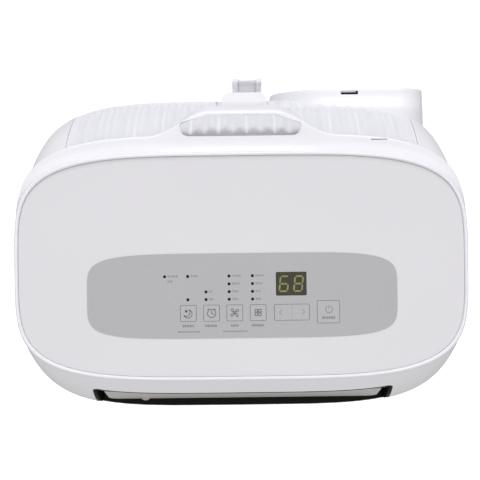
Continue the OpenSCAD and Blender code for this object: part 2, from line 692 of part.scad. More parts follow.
front_cover();
rear_cover();
carry_handle();
control_fascia();
control_overlay();
display_window();
display_digits();
indicator_lenses();
key(keys[0]);  // sleep_key
key(keys[1]);  // timer_key
key(keys[2]);  // fan_key
key(keys[3]);  // mode_key
key(keys[4]);  // down_key
key(keys[5]);  // up_key
key(keys[6]);  // power_key
display_board();
outlet_frame();
outlet_flap();
flap_tab();
flap_motor();
vane(0);  // vane_1
vane(1);  // vane_2
vane(2);  // vane_3
vane(3);  // vane_4
vane(4);  // vane_5
vane(5);  // vane_6
vane_link();
intake_cover();
air_filter();
exhaust_housing();
hook_block();
cord_hook();
cord_gland();
lower_grille();
drain_plug();
base_pan();
caster(0);  // caster_front_left
caster(1);  // caster_front_right
caster(2);  // caster_rear_left
caster(3);  // caster_rear_right
wheel(0);  // wheel_front_left
wheel(1);  // wheel_front_right
wheel(2);  // wheel_rear_left
wheel(3);  // wheel_rear_right
compressor();
compressor_feet();
accumulator();
refrigerant_pipes();
condenser();
condenser_fan();
condenser_fan_housing();
condenser_fan_motor();
exhaust_duct();
drain_pan();
evaporator();
evaporator_fan();
evaporator_fan_housing();
evaporator_fan_motor();
control_box();
cover_screws();
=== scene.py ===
"""The dehumidifier's looks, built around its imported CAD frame.

Shapes are worked out in millimetres in the CAD frame (+X right, +Y rear, +Z up) and turned into metres when
a mesh is made. "Depth" is the distance below the top of the rim, as in the CAD source.
"""
import math
import random

import bmesh
import bpy
import numpy as np
from mathutils import Matrix, Vector


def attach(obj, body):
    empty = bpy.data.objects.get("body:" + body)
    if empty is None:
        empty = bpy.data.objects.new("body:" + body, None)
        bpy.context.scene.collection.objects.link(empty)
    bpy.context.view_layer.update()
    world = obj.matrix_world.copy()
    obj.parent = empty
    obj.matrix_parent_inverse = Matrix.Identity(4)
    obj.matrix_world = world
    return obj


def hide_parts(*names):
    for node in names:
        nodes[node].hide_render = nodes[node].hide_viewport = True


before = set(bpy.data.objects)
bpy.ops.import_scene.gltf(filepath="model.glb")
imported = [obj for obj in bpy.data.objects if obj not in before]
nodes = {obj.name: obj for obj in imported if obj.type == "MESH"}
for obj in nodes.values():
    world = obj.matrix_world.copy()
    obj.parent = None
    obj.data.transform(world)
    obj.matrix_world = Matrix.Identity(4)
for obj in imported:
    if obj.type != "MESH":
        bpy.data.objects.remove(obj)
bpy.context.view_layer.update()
random.seed(7)

MM = 0.001
HEIGHT = 700.0
HALF_WIDTH = 220.0
# Where the two covers meet, and the middle of the rim's depth.
SPLIT_Y = 26.5
RIM_Y = -28.5
# How far the front and the rear stand from the rim's middle, and how much further they swell below the rim.
FRONT_DEPTH, FRONT_SWELL = 112.0, 35.5
REAR_DEPTH, REAR_SWELL = 110.0, 63.0
# The rear shoulder as (depth, how far behind the rim's rear edge).
SHOULDER = [(6, 0), (9, 9.5), (9.8, 15.5), (11.5, 17.2), (27, 17.03)]
HANDLE_X = 2.0
RIDGE_PITCH, RIDGE_DEPTH = 14.0, 4.5
# Middles, as (x, z), of the round things on the rear.
SOCKET = (111, 518)
CORD_INLET = (-120, 96)
DRAIN = (70, 62)
SCREWS = [(x, z) for x in (-150, 150) for z in (350, 92)]

# ---- camera and lights --------------------------------------------------------

scene = bpy.context.scene
scene.view_settings.view_transform = "Standard"


def aim(obj, target):
    obj.rotation_euler = (Vector(target) - obj.location).to_track_quat("-Z", "Y").to_euler()


camera = bpy.data.objects.new("camera", bpy.data.cameras.new("camera"))
camera.location = (-0.001, -0.0044, 2.0)
camera.rotation_euler = (0, 0, math.radians(-0.7))
camera.data.lens = 101.0
camera.data.clip_end = 60
scene.collection.objects.link(camera)
scene.camera = camera


def softbox(name, place, target, size, power, colour=(1, 1, 1)):
    light = bpy.data.lights.new(name, "AREA")
    light.shape = "RECTANGLE"
    light.size, light.size_y = size
    light.energy = power
    light.color = colour
    obj = bpy.data.objects.new(name, light)
    obj.location = place
    aim(obj, target)
    scene.collection.objects.link(obj)


softbox("key_rear", (0.0, 2.9, 2.3), (0, 0, 0.6), (3.0, 1.4), 60, (0.975, 0.98, 1.0))
softbox("top", (0.0, -0.5, 3.6), (0, 0, 0.5), (2.2, 1.8), 19)
softbox("front_fill", (0.0, -2.8, 1.9), (0, 0, 0.5), (3.4, 1.2), 12, (1.0, 0.975, 0.95))

world = bpy.data.worlds.new("studio")
scene.world = world
world.use_nodes = True
wt = world.node_tree
# The sky grows brighter upwards and to the rear.
direction = wt.nodes.new("ShaderNodeTexCoord")
tilt = wt.nodes.new("ShaderNodeVectorMath")
tilt.operation = "DOT_PRODUCT"
tilt.inputs[1].default_value = (0.0, 0.30, 0.34)
wt.links.new(direction.outputs["Generated"], tilt.inputs[0])
lift = wt.nodes.new("ShaderNodeMath")
lift.inputs[1].default_value = 0.5
wt.links.new(tilt.outputs["Value"], lift.inputs[0])
sky = wt.nodes.new("ShaderNodeValToRGB")
sky.color_ramp.elements[0].color = (0.76, 0.745, 0.735, 1)
sky.color_ramp.elements[1].color = (0.98, 0.98, 1.0, 1)
wt.links.new(lift.outputs["Value"], sky.inputs["Fac"])
wt.links.new(sky.outputs["Color"], wt.nodes["Background"].inputs["Color"])
wt.nodes["Background"].inputs["Strength"].default_value = 0.64

# ---- materials ------------------------------------------------------------------


def new_material(name):
    m = bpy.data.materials.new(name)
    m.use_nodes = True
    nt = m.node_tree
    return m, nt, nt.nodes["Principled BSDF"]


def noise(nt, scale, detail=3.0, rough=0.5):
    tc = nt.nodes.new("ShaderNodeTexCoord")
    n = nt.nodes.new("ShaderNodeTexNoise")
    n.inputs["Scale"].default_value = scale
    n.inputs["Detail"].default_value = detail
    n.inputs["Roughness"].default_value = rough
    nt.links.new(tc.outputs["Object"], n.inputs["Vector"])
    return n


def ramp(nt, source, stops):
    r = nt.nodes.new("ShaderNodeValToRGB")
    e = r.color_ramp.elements
    while len(e) < len(stops):
        e.new(0.5)
    for k, (pos, col) in zip(e, stops):
        k.position = pos
        k.color = (*col, 1)
    nt.links.new(source, r.inputs["Fac"])
    return r


def shade(c, f):
    return tuple(min(1.0, v * f) for v in c)


def surface(name, colour, rough, grain, grain_depth, drift, drift_scale, rough_drift,
            wear=0.0, metallic=0.0, coat=0.0, spec=0.5, speckle=0.0):
    """Moulded or finished surface: slow colour drift, fine grain bump, patchy roughness, lighter worn edges."""
    m, nt, bsdf = new_material(name)
    slow = noise(nt, drift_scale, 4, 0.55)
    tone = ramp(nt, slow.outputs["Fac"], [(0.3, shade(colour, 1 - drift)), (0.7, shade(colour, 1 + drift))])
    out = tone.outputs["Color"]
    if speckle:
        dots = noise(nt, 420, 2, 0.6)
        fine = ramp(nt, dots.outputs["Fac"],
                    [(0.35, shade(colour, 1 - speckle)), (0.6, shade(colour, 1 + speckle))])
        mix = nt.nodes.new("ShaderNodeMix")
        mix.data_type = "RGBA"
        mix.inputs["Factor"].default_value = 0.35
        nt.links.new(out, mix.inputs["A"])
        nt.links.new(fine.outputs["Color"], mix.inputs["B"])
        out = mix.outputs["Result"]
    if wear:
        geo = nt.nodes.new("ShaderNodeNewGeometry")
        edge = ramp(nt, geo.outputs["Pointiness"], [(0.52, (0, 0, 0)), (0.58, (wear, wear, wear))])
        mix = nt.nodes.new("ShaderNodeMix")
        mix.data_type = "RGBA"
        nt.links.new(edge.outputs["Color"], mix.inputs["Factor"])
        nt.links.new(out, mix.inputs["A"])
        mix.inputs["B"].default_value = (*shade(colour, 1.35 if max(colour) < 0.5 else 1.08), 1)
        out = mix.outputs["Result"]
    nt.links.new(out, bsdf.inputs["Base Color"])
    patch = noise(nt, drift_scale * 4, 3, 0.6)
    rr = nt.nodes.new("ShaderNodeMapRange")
    rr.inputs["To Min"].default_value = max(0.03, rough - rough_drift)
    rr.inputs["To Max"].default_value = min(1.0, rough + rough_drift)
    nt.links.new(patch.outputs["Fac"], rr.inputs["Value"])
    nt.links.new(rr.outputs["Result"], bsdf.inputs["Roughness"])
    fine = noise(nt, grain, 2, 0.5)
    bump = nt.nodes.new("ShaderNodeBump")
    bump.inputs["Strength"].default_value = 0.6
    bump.inputs["Distance"].default_value = grain_depth
    nt.links.new(fine.outputs["Fac"], bump.inputs["Height"])
    nt.links.new(bump.outputs["Normal"], bsdf.inputs["Normal"])
    bsdf.inputs["Metallic"].default_value = metallic
    bsdf.inputs["Coat Weight"].default_value = coat
    bsdf.inputs["Coat Roughness"].default_value = 0.15
    bsdf.inputs["Specular IOR Level"].default_value = spec
    return m


def glow(name, colour, strength):
    """Lit display segments: an uneven glow under the window's film."""
    m, nt, bsdf = new_material(name)
    n = noise(nt, 260, 2, 0.5)
    r = ramp(nt, n.outputs["Fac"], [(0.3, shade(colour, 0.8)), (0.7, shade(colour, 1.15))])
    nt.links.new(r.outputs["Color"], bsdf.inputs["Base Color"])
    nt.links.new(r.outputs["Color"], bsdf.inputs["Emission Color"])
    bsdf.inputs["Emission Strength"].default_value = strength
    bsdf.inputs["Roughness"].default_value = 0.35
    return m


MAT = {
    "cabinet_white": surface("cabinet_white", (0.81, 0.808, 0.842), 0.34, 1400, 0.00003, 0.012, 6, 0.05,
                             wear=0.25),
    "panel_grey": surface("panel_grey", (0.68, 0.67, 0.69), 0.30, 1600, 0.00002, 0.012, 7, 0.05),
    "overlay_grey": surface("overlay_grey", (0.42, 0.42, 0.428), 0.42, 1500, 0.00002, 0.015, 12, 0.05,
                            speckle=0.04),
    "display_dark": surface("display_dark", (0.042, 0.036, 0.026), 0.3, 600, 0.00001, 0.10, 60, 0.05,
                            speckle=0.2, spec=0.2),
    "digit_green": glow("digit_green", (0.15, 0.165, 0.03), 0.28),
    "lens_dark": surface("lens_dark", (0.012, 0.012, 0.014), 0.4, 900, 0.00001, 0.10, 90, 0.05, spec=0.15),
    "key_grey": surface("key_grey", (0.425, 0.425, 0.433), 0.40, 1500, 0.00002, 0.015, 16, 0.05, speckle=0.04),
    "board_green": surface("board_green", (0.02, 0.11, 0.05), 0.45, 300, 0.00005, 0.25, 60, 0.1, speckle=0.3),
    # outlet_black: the outlet's black plastic, painted darker still as painted shade for the deep shadow under
    # the flap.
    "outlet_black": surface("outlet_black", (0.0035, 0.0032, 0.0034), 0.5, 900, 0.00004, 0.2, 14, 0.08,
                            wear=0.15, spec=0.08),
    # flap_white: the flap is the cabinet's white plastic, painted darker grey as painted shade for the flap
    # tucked under the brow.
    "flap_white": surface("flap_white", (0.50, 0.485, 0.48), 0.32, 1400, 0.00003, 0.012, 8, 0.05, wear=0.2),
    "tab_clear": surface("tab_clear", (0.36, 0.305, 0.31), 0.18, 700, 0.00001, 0.06, 50, 0.04),
    "motor_steel": surface("motor_steel", (0.46, 0.46, 0.47), 0.33, 700, 0.00004, 0.10, 30, 0.1, wear=0.3,
                           metallic=1.0),
    "filter_mesh": surface("filter_mesh", (0.30, 0.33, 0.38), 0.6, 500, 0.0001, 0.1, 40, 0.1, speckle=0.15),
    "hook_grey": surface("hook_grey", (0.86, 0.855, 0.88), 0.36, 1100, 0.00003, 0.02, 12, 0.06, wear=0.25),
    "gland_black": surface("gland_black", (0.02, 0.02, 0.021), 0.55, 800, 0.00006, 0.2, 40, 0.1, wear=0.3),
    "plug_rubber": surface("plug_rubber", (0.028, 0.027, 0.027), 0.75, 700, 0.0001, 0.25, 30, 0.1, speckle=0.2),
    "base_dark": surface("base_dark", (0.055, 0.055, 0.06), 0.55, 600, 0.00008, 0.15, 12, 0.1, wear=0.3,
                         speckle=0.12),
    "caster_dark": surface("caster_dark", (0.04, 0.04, 0.043), 0.5, 700, 0.00006, 0.15, 25, 0.1, wear=0.4),
    "wheel_rubber": surface("wheel_rubber", (0.05, 0.05, 0.052), 0.7, 600, 0.0001, 0.2, 30, 0.1, speckle=0.2,
                            wear=0.4),
    "compressor_black": surface("compressor_black", (0.02, 0.02, 0.022), 0.35, 240, 0.00015, 0.15, 16, 0.1,
                                wear=0.3, coat=0.3),
    "pipe_copper": surface("pipe_copper", (0.72, 0.36, 0.22), 0.3, 300, 0.00008, 0.22, 35, 0.12, metallic=1.0,
                           wear=0.2),
    "coil_aluminium": surface("coil_aluminium", (0.70, 0.71, 0.73), 0.38, 500, 0.00006, 0.12, 50, 0.1,
                              metallic=1.0),
    "fan_black": surface("fan_black", (0.03, 0.03, 0.034), 0.5, 700, 0.00006, 0.15, 20, 0.1, wear=0.3),
    "duct_white": surface("duct_white", (0.66, 0.66, 0.66), 0.5, 900, 0.00006, 0.04, 10, 0.08, speckle=0.05),
    "screw_steel": surface("screw_steel", (0.5, 0.5, 0.52), 0.28, 500, 0.00005, 0.15, 80, 0.1, metallic=1.0,
                           wear=0.3),
    "print_grey": surface("print_grey", (0.15, 0.15, 0.16), 0.5, 900, 0.00001, 0.1, 120, 0.05),
    "print_light": surface("print_light", (0.225, 0.225, 0.235), 0.5, 900, 0.00001, 0.1, 120, 0.05),
    "print_pale": surface("print_pale", (0.275, 0.275, 0.285), 0.5, 900, 0.00001, 0.1, 120, 0.05),
}
for obj in nodes.values():
    obj.data.materials[0] = MAT[obj.data.materials[0].name.split(".")[0]]

# ---- shape of the cabinet, as in the CAD ------------------------------------------


def clamp01(v):
    return np.clip(v, 0.0, 1.0)


def ease(u):
    return 1 - (1 - u) ** 2


def front_at(d):
    return RIM_Y - FRONT_DEPTH - FRONT_SWELL * ease(clamp01((d - 6) / 94))


def rear_at(d):
    shoulder = np.interp(d, [p[0] for p in SHOULDER], [p[1] for p in SHOULDER])
    return RIM_Y + REAR_DEPTH + np.where(d < 27, shoulder, REAR_SWELL * ease(clamp01((d - 6) / 144)))


def half_at(d):
    return HALF_WIDTH - 2 * clamp01((d - 6) / 94) - 3 * clamp01((d - 152) / 500)


def power_at(d):
    """Power of the superellipse at depth d: a larger one has squarer corners."""
    return 4.2 + 0.3 * clamp01((d - 6) / 94)


def mid_at(d):
    return (front_at(d) + rear_at(d)) / 2


def deep_at(d):
    return (rear_at(d) - front_at(d)) / 2


def outline_point(d, w, phi):
    """Point of the outline at depth d, inset w, seen from its middle at angle phi (radians)."""
    n = power_at(d)
    c, s = np.cos(phi), np.sin(phi)
    r = (np.abs(c) ** n + np.abs(s) ** n) ** (-1 / n)
    return (half_at(d) - w) * r * c, mid_at(d) + (deep_at(d) - w) * r * s


def rear_surface(x, d, w=0.0):
    """Y of the rear surface at x and depth d, inset w."""
    n = power_at(d)
    return mid_at(d) + (deep_at(d) - w) * (1 - np.minimum(np.abs(x) / (half_at(d) - w), 1) ** n) ** (1 / n)


def split_phi(d, w):
    """Angle at which the outline crosses the line where the covers meet."""
    n = power_at(d)
    s = (SPLIT_Y - mid_at(d)) / (deep_at(d) - w)
    return math.atan2(s, (1 - abs(s) ** n) ** (1 / n))


# ---- mesh making --------------------------------------------------------------------


def finish_mesh(obj, material, body, angle=35, replaces=()):
    """Smooth shading with sharp edges above angle, the material, and what the frame needs to know."""
    me = obj.data
    for p in me.polygons:
        p.use_smooth = True
    me.set_sharp_from_angle(angle=math.radians(angle))
    me.materials.clear()
    me.materials.append(MAT[material])
    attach(obj, body)
    if replaces:
        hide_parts(*replaces)


def mesh_object(name, verts, faces):
    me = bpy.data.meshes.new(name)
    me.from_pydata([tuple(float(c) * MM for c in v) for v in verts], [], [tuple(f) for f in faces])
    obj = bpy.data.objects.new(name, me)
    scene.collection.objects.link(obj)
    bm = bmesh.new()
    bm.from_mesh(me)
    bmesh.ops.recalc_face_normals(bm, faces=bm.faces)
    bm.to_mesh(me)
    bm.free()
    return obj


def grid_faces(rows, cols, loop_rows, loop_cols, offset=0):
    """Quads between rows of points that were written one row after the other."""
    faces = []
    for j in range(rows if loop_rows else rows - 1):
        for i in range(cols if loop_cols else cols - 1):
            a = offset + j * cols + i
            b = offset + j * cols + (i + 1) % cols
            c = offset + ((j + 1) % rows) * cols + (i + 1) % cols
            e = offset + ((j + 1) % rows) * cols + i
            faces.append((a, b, c, e))
    return faces


def apply_modifiers(obj):
    dg = bpy.context.evaluated_depsgraph_get()
    me = bpy.data.meshes.new_from_object(obj.evaluated_get(dg))
    obj.modifiers.clear()
    old = obj.data
    obj.data = me
    bpy.data.meshes.remove(old)


def cut(obj, *tools):
    """Takes each closed tool away from obj."""
    for tool in tools:
        mod = obj.modifiers.new("cut", "BOOLEAN")
        mod.operation = "DIFFERENCE"
        mod.solver = "EXACT"
        mod.object = tool
        apply_modifiers(obj)
        bpy.data.objects.remove(tool)


def bevel(obj, width, segments, angle):
    mod = obj.modifiers.new("bevel", "BEVEL")
    mod.width = width * MM
    mod.segments = segments
    mod.limit_method = "ANGLE"
    mod.angle_limit = math.radians(angle)
    apply_modifiers(obj)


def prism(name, outline, axis, lo, hi):
    """A closed outline in the plane across axis, drawn out from lo to hi. For x it is (y, z), for y (x, z)."""
    n = len(outline)
    place = {"x": lambda p, t: (t, p[0], p[1]), "y": lambda p, t: (p[0], t, p[1]),
             "z": lambda p, t: (p[0], p[1], t)}[axis]
    verts = [place(p, lo) for p in outline] + [place(p, hi) for p in outline]
    faces = [tuple(range(n)), tuple(range(2 * n - 1, n - 1, -1))]
    faces += [(i, (i + 1) % n, n + (i + 1) % n, n + i) for i in range(n)]
    return mesh_object(name, verts, faces)


def arc(cx, cy, r, a0, a1, steps):
    return [(cx + r * math.cos(math.radians(a0 + (a1 - a0) * i / steps)),
             cy + r * math.sin(math.radians(a0 + (a1 - a0) * i / steps))) for i in range(steps + 1)]


def rounded(x0, y0, x1, y1, r, steps=6):
    return (arc(x1 - r, y0 + r, r, -90, 0, steps) + arc(x1 - r, y1 - r, r, 0, 90, steps)
            + arc(x0 + r, y1 - r, r, 90, 180, steps) + arc(x0 + r, y0 + r, r, 180, 270, steps))


def plate(name, loops, z0, z1, edge):
    """A flat plate with holes: the first loop is its outside, and its rims are rounded by edge."""
    curve = bpy.data.curves.new(name, "CURVE")
    curve.dimensions = "2D"
    curve.fill_mode = "BOTH"
    curve.extrude = ((z1 - z0) / 2 - edge) * MM
    curve.bevel_depth = edge * MM
    curve.bevel_resolution = 2
    curve.offset = -edge * MM
    for loop in loops:
        s = curve.splines.new("POLY")
        s.points.add(len(loop) - 1)
        for q, p in zip(s.points, loop):
            q.co = (p[0] * MM, p[1] * MM, 0, 1)
        s.use_cyclic_u = True
    temp = bpy.data.objects.new(name + "_curve", curve)
    scene.collection.objects.link(temp)
    dg = bpy.context.evaluated_depsgraph_get()
    me = bpy.data.meshes.new_from_object(temp.evaluated_get(dg))
    bpy.data.objects.remove(temp)
    me.transform(Matrix.Translation((0, 0, (z0 + z1) / 2 * MM)))
    bm = bmesh.new()
    bm.from_mesh(me)
    bmesh.ops.remove_doubles(bm, verts=bm.verts, dist=1e-6)
    bmesh.ops.recalc_face_normals(bm, faces=bm.faces)
    bm.to_mesh(me)
    bm.free()
    me.name = name
    obj = bpy.data.objects.new(name, me)
    scene.collection.objects.link(obj)
    return obj


def revolve(name, profile, steps, matrix):
    """A closed profile of (radius, height) turned round its local Z, then placed by matrix (millimetres)."""
    verts = []
    for k in range(steps):
        a = 2 * math.pi * k / steps
        for r, h in profile:
            verts.append(matrix @ Vector((r * math.cos(a), r * math.sin(a), h)))
    return mesh_object(name, verts, grid_faces(steps, len(profile), True, True))


def along_y(x, z, y):
    """Matrix that turns a local Z axis to +Y at (x, y, z)."""
    return Matrix.Translation((x, y, z)) @ Matrix.Rotation(math.radians(-90), 4, "X")


def drill(x, z, r, lo, hi, steps=96):
    """Cutting tool for a round hole along Y."""
    return prism("tool", arc(x, z, r, 0, 360 - 360 / steps, steps - 1), "y", lo, hi)


# ---- covers ---------------------------------------------------------------------------

# Cross-section of the bead round the panel, as (inset, depth), from the outside in.
BEAD = ([(2 - 2 * math.cos(math.radians(t)), 5 - 5 * math.sin(math.radians(t))) for t in (18, 36, 54, 72, 90)]
        + [(2.4 + 1.8 * math.sin(math.radians(t)), 2.2 - 2.2 * math.cos(math.radians(t)))
           for t in (0, 30, 60, 90)]
        + [(4.2, 4.5), (4.2, 6.3), (10, 6.3)])


def handle_rise(x):
    """How much of the handle's arch there is at x, from 0 to 1."""
    u = np.abs(x - HANDLE_X)
    return 0.5 + 0.5 * np.cos(math.pi * clamp01((u - 30) / 62))


def ridge_end(x):
    """Depth at which the ridges right of the hook fade out."""
    return np.interp(x, [-24, 30, 45, 114, 155, 176], [124, 120, 116, 104, 94, 90])


def ridge_in(x, d):
    """How far the wavy intake surface stands back, with the ridges fading at both ends of the grille."""
    wave = RIDGE_DEPTH * (0.5 - 0.5 * np.cos(2 * math.pi * x / RIDGE_PITCH))
    sides = clamp01((x + 168) / 5) * clamp01((172 - x) / 5)
    low = np.where(x > -24, clamp01((ridge_end(x) - d) / 9), 1.0)
    low = low * low * (3 - 2 * low)
    return wave * sides * low


def cover_mesh(name, side, columns):
    """Front (-1) or rear (1) cover: a closed wall swept round half of the outline."""
    # Stations of the wall: (inset, depth, handle offset behind the rim or None, handle depth)
    low = [652, 648, 600, 540, 480, 420, 370, 330, 290, 250, 215, 190, 170, 152, 140, 128, 122, 116, 110, 104,
           98, 92, 86, 80, 74, 68, 62, 56, 50, 45, 40, 36, 32]
    stations = [(0, d, None, d) for d in low]
    ledge = [(27, 46.5, 25.8), (18, 43.6, 17.5), (12.4, 41.4, 11.3), (11.2, 40.4, 9.0), (10.4, 39.2, 7.5),
             (9.95, 37.2, 6.6), (9.7, 34.0, 6.7), (9.5, 30.0, 7.6), (9.25, 24.0, 9.3), (9.0, 18.0, 10.4),
             (8.2, 12.0, 10.6), (7.2, 6.0, 9.4), (6.5, 2.2, 7.6), (6.0, 0.0, 6.0)]
    stations += [(0, d, h, hd) for d, h, hd in ledge]
    stations += [(w, d, None, d) for w, d in BEAD]
    inner = [(10, 9.3, -10, 9.3), (9, 11.5, -7, 11.8), (7, 12.4, 2, 13.4), (5.5, 12.9, 12, 14.2),
             (4.4, 13.4, 24, 13.0), (3.5, 14.2, 33.5, 10.2), (3, 16, 36.5, 10.4), (3, 20, 38.6, 15),
             (3, 27, 43.3, 25.8)]
    stations += inner
    stations += [(3, d, None, d) for d in reversed(low)]
    verts = []
    for w, d, h, hd in stations:
        t = split_phi(d, w)
        phi = np.linspace(t, side * math.pi - t, columns)
        x, y = outline_point(np.full(columns, float(d)), w, phi)
        z = np.full(columns, HEIGHT - d)
        if side > 0:
            if h is not None:
                s = handle_rise(x)
                rim_y = outline_point(np.full(columns, 6.0), 0, phi)[1]
                y = y + s * (rim_y + h - y)
                z = z + s * (d - hd)
            if 88 < d < 126:
                on = (x > -23) & (x < 172) & (y > 60)
                y = y - np.where(on, ridge_in(x, d), 0.0)
        verts += list(zip(x, y, z))
    rows = len(stations)
    faces = grid_faces(rows, columns, True, False)
    faces += [tuple(j * columns for j in range(rows)),
              tuple((j + 1) * columns - 1 for j in reversed(range(rows)))]
    return mesh_object(name, verts, faces)


front = cover_mesh("cover_front", -1, 220)
outlet = rounded(-148.5, 600, 148.5, 673, 6, 8)
cut(front, prism("tool", outlet, "y", -200, -100))
finish_mesh(front, "cabinet_white", "cabinet", 32, ["front_cover"])

rear = cover_mesh("cover_rear", 1, 420)
intake_edge = [(-172.3, 566.7), (-23.7, 566.7), (-23.7, 606.7), (176.3, 606.7), (176.3, 673.4),
               (-172.3, 673.4)]
finger_opening = (arc(51, 106, 9, -90, 20, 10) + arc(35, 113.5, 4, 40, 90, 5)
                  + arc(-31, 113.5, 4, 90, 140, 5) + arc(-49.5, 106, 9, 150, 270, 10))
lower_intake = rounded(-150, 122, 150, 325, 1.5, 4)
ledge_slit = rounded(127.8, 91.6, 143.4, 92.4, 0.2, 2)
cut(rear,
    prism("tool", intake_edge, "y", 60, 200),
    prism("tool", lower_intake, "y", 60, 200),
    prism("tool", finger_opening, "z", 640, 710),
    prism("tool", ledge_slit, "z", 684, 700),
    drill(*SOCKET, 75.4, 60, 200),
    drill(*CORD_INLET, 9.3, 60, 200, 48),
    drill(*DRAIN, 11, 60, 200, 48),
    *[drill(x, z, 2.1, 60, 200, 24) for x, z in SCREWS])
finish_mesh(rear, "cabinet_white", "cabinet", 32, ["rear_cover", "carry_handle"])

# ---- intake grille, a loose cover of level slats --------------------------------------

INTAKE_L, INTAKE_R, INTAKE_TOP, INTAKE_STEP, INTAKE_LOW = -172.0, 176.0, 673.0, 607.0, 567.0
SLAT_PITCH = 3.5


def intake_grille():
    """Level slats whose outer edges follow the wavy surface, as one mesh of separate closed strips."""
    verts, faces = [], []
    # (how far back, how high) round one slat; the outer edge is rounded
    ring = [(0.45, 0.0), (0.08, 0.35), (0.0, 0.9), (0.0, 1.9), (0.1, 2.35), (0.45, 2.7), (7.2, 2.9), (7.2, 0.2)]
    n = len(ring)
    for z in np.arange(INTAKE_LOW + 0.6, INTAKE_TOP - 3, SLAT_PITCH):
        x0 = INTAKE_L + 0.3
        x1 = -24.3 if z < INTAKE_STEP - 0.4 else INTAKE_R - 0.3
        count = int((x1 - x0) / 1.25)
        xs = np.linspace(x0, x1, count)
        d = HEIGHT - (z + 1.35)
        start = len(verts)
        for x in xs:
            y = rear_surface(x, d, 0.25) - float(ridge_in(x, d))
            verts += [(x, y - back, z + up) for back, up in ring]
        faces += grid_faces(count, n, False, True, start)
        faces += [tuple(range(start, start + n)),
                  tuple(range(start + count * n - 1, start + (count - 1) * n - 1, -1))]
    return mesh_object("intake_grille", verts, faces)


def rail(name, x0, x1, z0, z1, inset, depth, steps_x, steps_z):
    """A bar or rib that follows the rear surface between two corners, with its outer face inset."""
    xs, zs = np.linspace(x0, x1, steps_x), np.linspace(z0, z1, steps_z)
    verts = []
    for back in (0.0, depth):
        for z in zs:
            for x in xs:
                verts.append((x, rear_surface(x, HEIGHT - z, inset) - back, z))
    n = steps_x * steps_z
    outer = grid_faces(steps_z, steps_x, False, False)
    faces = outer + [tuple(n + v for v in reversed(f)) for f in outer]
    edge = (list(range(steps_x)) + [steps_x * (j + 1) - 1 for j in range(1, steps_z)]
            + [n - 1 - i for i in range(1, steps_x)]
            + [steps_x * (steps_z - 1 - j) for j in range(1, steps_z - 1)])
    for k, a in enumerate(edge):
        b = edge[(k + 1) % len(edge)]
        faces.append((a, b, n + b, n + a))
    return mesh_object(name, verts, faces)


finish_mesh(intake_grille(), "cabinet_white", "intake_cover", 40, ["intake_cover"])
rails = [("grille_rail_top", INTAKE_L, INTAKE_R, 670.2, 673.0, 160, 2),
         ("grille_rail_low", INTAKE_L, -24.0, INTAKE_LOW, INTAKE_LOW + 1.6, 70, 2),
         ("grille_rail_step", -24.0, INTAKE_R, INTAKE_STEP, INTAKE_STEP + 1.6, 90, 2),
         ("grille_rail_left", INTAKE_L, INTAKE_L + 2.6, INTAKE_LOW, INTAKE_TOP, 3, 30),
         ("grille_rail_right", INTAKE_R - 2.6, INTAKE_R, INTAKE_STEP, INTAKE_TOP, 3, 20),
         ("grille_rail_notch", -26.0, -24.0, INTAKE_LOW, INTAKE_STEP + 1.6, 3, 14)]
for name, x0, x1, z0, z1, nx, nz in rails:
    obj = rail(name, x0, x1, z0, z1, 0.25, 7.6, nx, nz)
    bevel(obj, 0.35, 2, 50)
    finish_mesh(obj, "cabinet_white", "intake_cover", 40)
# Ribs behind the slats, in the valleys.
for k, x in enumerate(range(-161, 168, 28)):
    low = INTAKE_LOW + 1 if x < -30 else INTAKE_STEP + 1
    obj = rail(f"grille_rib_{k}", x - 1.2, x + 1.2, low, INTAKE_TOP - 1, 5.2, 3.2, 2, 24)
    finish_mesh(obj, "cabinet_white", "intake_cover", 40)

# ---- exhaust housing, hook block, hook ------------------------------------------------------


def housing_outline(lift, inset=0.0):
    """Outside of the exhaust housing in (x, z), with its top raised by lift and its edge pulled in by inset."""
    pts = (arc(166, 568, 28 - inset, 0, 90, 16) + arc(101, 528, 68 - inset, 90, 180, 28)
           + arc(101, 508, 68 - inset, 180, 270, 24) + arc(156, 478, 38 - inset, 270, 360, 16))
    return [(x, z + lift * max(0.0, z - 528) / 68) for x, z in pts]


def housing_body():
    """The housing drawn from inside the cabinet out to its rounded rear edge."""
    rows = []
    for y, lift, inset in [(100, 8.5, 0), (128, 8.5, 0), (131, 8.2, 0), (133.5, 7.2, 0), (136, 5.6, 0),
                           (139, 3.8, 0), (142, 2.4, 0), (145, 1.4, 0), (148, 0.7, 0), (150.2, 0.3, 0),
                           (151.3, 0.1, 0.25), (152.1, 0, 0.8), (152.5, 0, 1.6)]:
        rows.append([(x, y, z) for x, z in housing_outline(lift, inset)])
    n = len(rows[0])
    verts = [v for r in rows for v in r]
    faces = grid_faces(len(rows), n, False, True)
    faces += [tuple(range(n)), tuple(range(len(verts) - 1, len(verts) - n - 1, -1))]
    return mesh_object("exhaust_collar", verts, faces)


collar = housing_body()
cut(collar,
    drill(*SOCKET, 72.0, 115, 200, 128),
    drill(*SOCKET, 67.0, 90, 200, 128),
    prism("tool", rounded(106, 145.9, 124, 149.9, 0.8, 3), "z", 580, 620))
finish_mesh(collar, "cabinet_white", "cabinet", 32, ["exhaust_housing"])
# A near-black plate just under the slot in the housing's top: painted shade for the dark inside of the hole.
slot_shade_plate = prism("exhaust_slot_shade_plate", rounded(105.2, 145.1, 124.8, 150.0, 0.8, 3), "z", 590.3, 591.3)
finish_mesh(slot_shade_plate, "outlet_black", "cabinet", 30)
lip = revolve("exhaust_socket_lip",
              [(72, 148.6), (72, 152.0), (72.4, 152.4), (73.4, 152.4), (73.9, 152.0), (74.2, 148.6)],
              128, along_y(*SOCKET, 0))
finish_mesh(lip, "cabinet_white", "cabinet", 40)

block = prism("hook_mount", [(120, 603.5), (139, 603.5), (149.7, 593.5), (149.7, 400), (146, 390), (120, 390)],
              "x", -19, 28.4)
